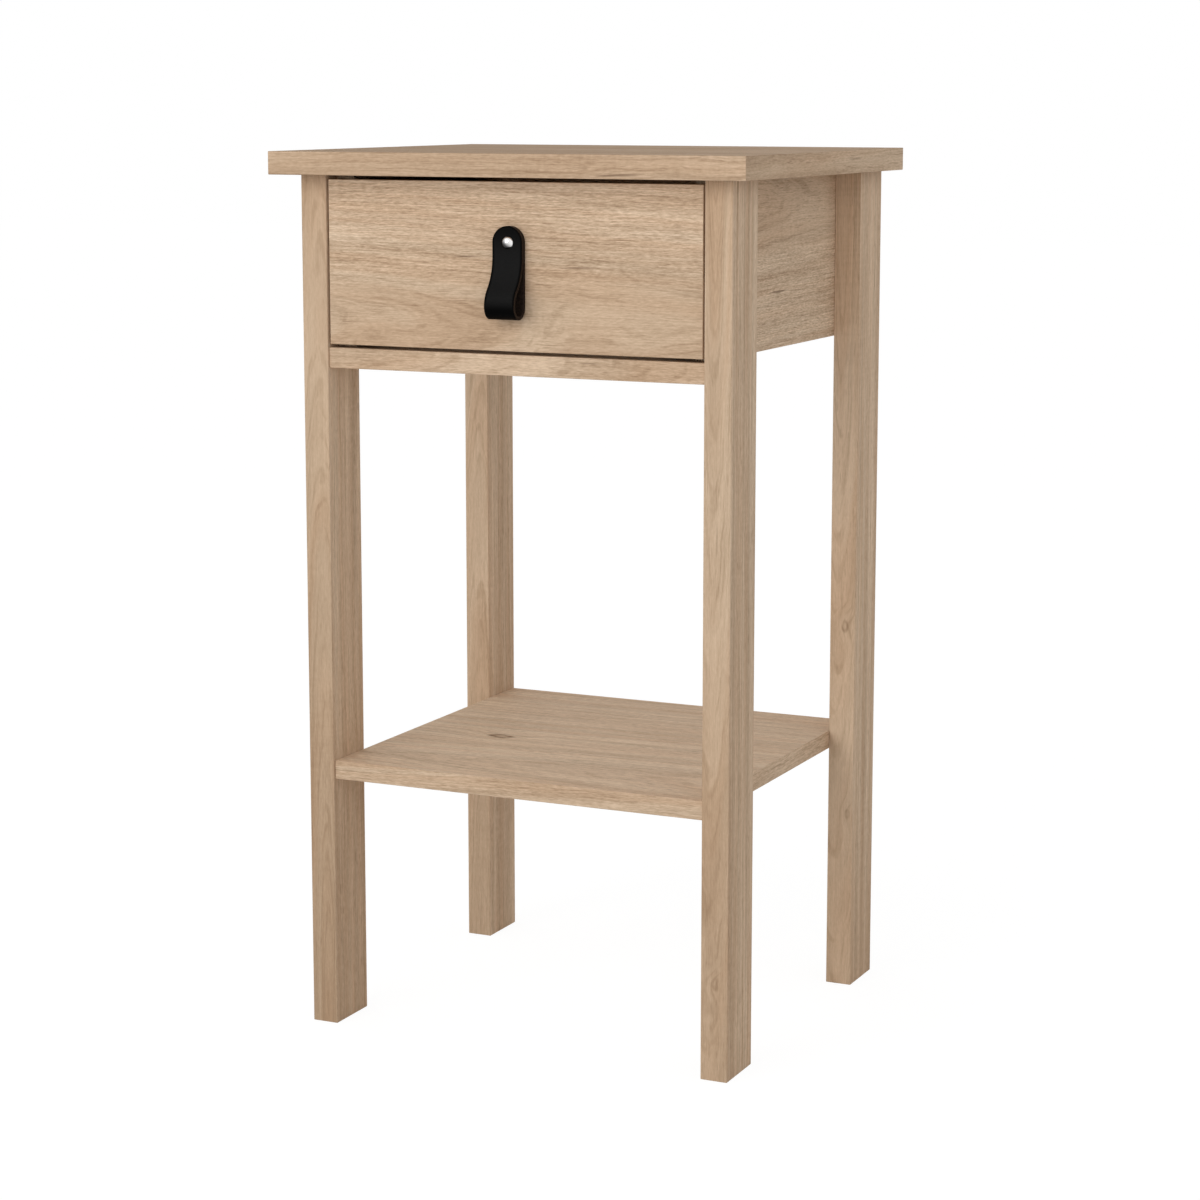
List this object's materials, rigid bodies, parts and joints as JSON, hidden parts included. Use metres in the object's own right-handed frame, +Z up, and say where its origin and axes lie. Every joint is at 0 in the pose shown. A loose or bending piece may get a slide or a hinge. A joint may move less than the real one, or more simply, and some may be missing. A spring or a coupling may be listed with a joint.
{
  "type": "side table with drawer",
  "caption": "Tall narrow wood-effect side table with board legs, an overhanging flat top, a drawer on roller runners with a black leather loop pull, and an open lower shelf.",
  "frame": {"origin": "on the floor, under the middle of the top board's footprint", "axes": "+Z up, -Y towards the drawer front, +X to the right as seen from the front"},
  "size_m": [0.4, 0.342, 0.702],
  "materials": {
    "oak_foil": "matt light oak wood-grain foil on board",
    "drawer_board": "matt pale foil on thin board",
    "beech_dowel": "plain beech",
    "zinc_steel": "zinc-plated steel",
    "runner_enamel": "smooth grey enamel on sheet steel",
    "roller_nylon": "white nylon",
    "black_leather": "black leather with dark brown cut edges",
    "satin_stud": "satin metal dome"
  },
  "bodies": {
    "carcass": {"top_board": "oak_foil", "leg_front_left": "oak_foil", "leg_front_right": "oak_foil", "leg_back_left": "oak_foil", "leg_back_right": "oak_foil", "side_panel_left": "oak_foil", "side_panel_right": "oak_foil", "back_panel": "oak_foil", "front_rail": "oak_foil", "lower_shelf": "oak_foil", "top_dowels": "beech_dowel", "top_cam_bolts": "zinc_steel", "top_cam_locks": "zinc_steel", "leg_screws": "zinc_steel", "back_panel_screws": "zinc_steel", "rail_dowels": "beech_dowel", "rail_screws": "zinc_steel", "shelf_dowels": "beech_dowel", "shelf_cam_bolts": "zinc_steel", "shelf_cam_locks": "zinc_steel", "cabinet_runner_left": "runner_enamel", "cabinet_runner_right": "runner_enamel", "cabinet_runner_screws": "zinc_steel", "cabinet_roller_axles": "zinc_steel"},
    "drawer": {"drawer_front": "oak_foil", "drawer_side_left": "drawer_board", "drawer_side_right": "drawer_board", "drawer_back": "drawer_board", "drawer_bottom": "drawer_board", "drawer_front_dowels": "beech_dowel", "drawer_cam_bolts": "zinc_steel", "drawer_cam_locks": "zinc_steel", "drawer_back_screws": "zinc_steel", "drawer_bottom_screws": "zinc_steel", "drawer_runner_left": "runner_enamel", "drawer_runner_right": "runner_enamel", "drawer_runner_screws": "zinc_steel", "drawer_roller_axles": "zinc_steel", "pull_stud": "satin_stud", "pull_screw": "zinc_steel"},
    "pull": {"pull_strap": "black_leather"},
    "cabinet_wheel_left": {"cabinet_roller_left": "roller_nylon"},
    "cabinet_wheel_right": {"cabinet_roller_right": "roller_nylon"},
    "drawer_wheel_left": {"drawer_roller_left": "roller_nylon"},
    "drawer_wheel_right": {"drawer_roller_right": "roller_nylon"}
  },
  "joints": [
    {"name": "drawer_slide", "type": "slide", "parent": "carcass", "child": "drawer", "axis": [0, -1, 0], "range_m": [0, 0.19]},
    {"name": "cabinet_roller_left_spin", "type": "hinge", "parent": "carcass", "child": "cabinet_wheel_left", "pos_m": [-0.14015, -0.122, 0.5615], "axis": [1, 0, 0], "continuous": true},
    {"name": "cabinet_roller_right_spin", "type": "hinge", "parent": "carcass", "child": "cabinet_wheel_right", "pos_m": [0.14015, -0.122, 0.5615], "axis": [1, 0, 0], "continuous": true},
    {"name": "drawer_roller_left_spin", "type": "hinge", "parent": "drawer", "child": "drawer_wheel_left", "pos_m": [-0.13735, 0.1065, 0.5613], "axis": [1, 0, 0], "continuous": true},
    {"name": "drawer_roller_right_spin", "type": "hinge", "parent": "drawer", "child": "drawer_wheel_right", "pos_m": [0.13735, 0.1065, 0.5613], "axis": [1, 0, 0], "continuous": true},
    {"name": "pull_swivel", "type": "hinge", "parent": "drawer", "child": "pull", "pos_m": [0, -0.1545, 0.635], "axis": [0, 1, 0], "range_deg": [-90, 90]}
  ],
  "couplings": [
    {"joint": "cabinet_roller_left_spin", "follows": "drawer_slide", "rad_per_m": 125},
    {"joint": "cabinet_roller_right_spin", "follows": "drawer_slide", "rad_per_m": 125},
    {"joint": "drawer_roller_left_spin", "follows": "drawer_slide", "rad_per_m": 125},
    {"joint": "drawer_roller_right_spin", "follows": "drawer_slide", "rad_per_m": 125}
  ]
}
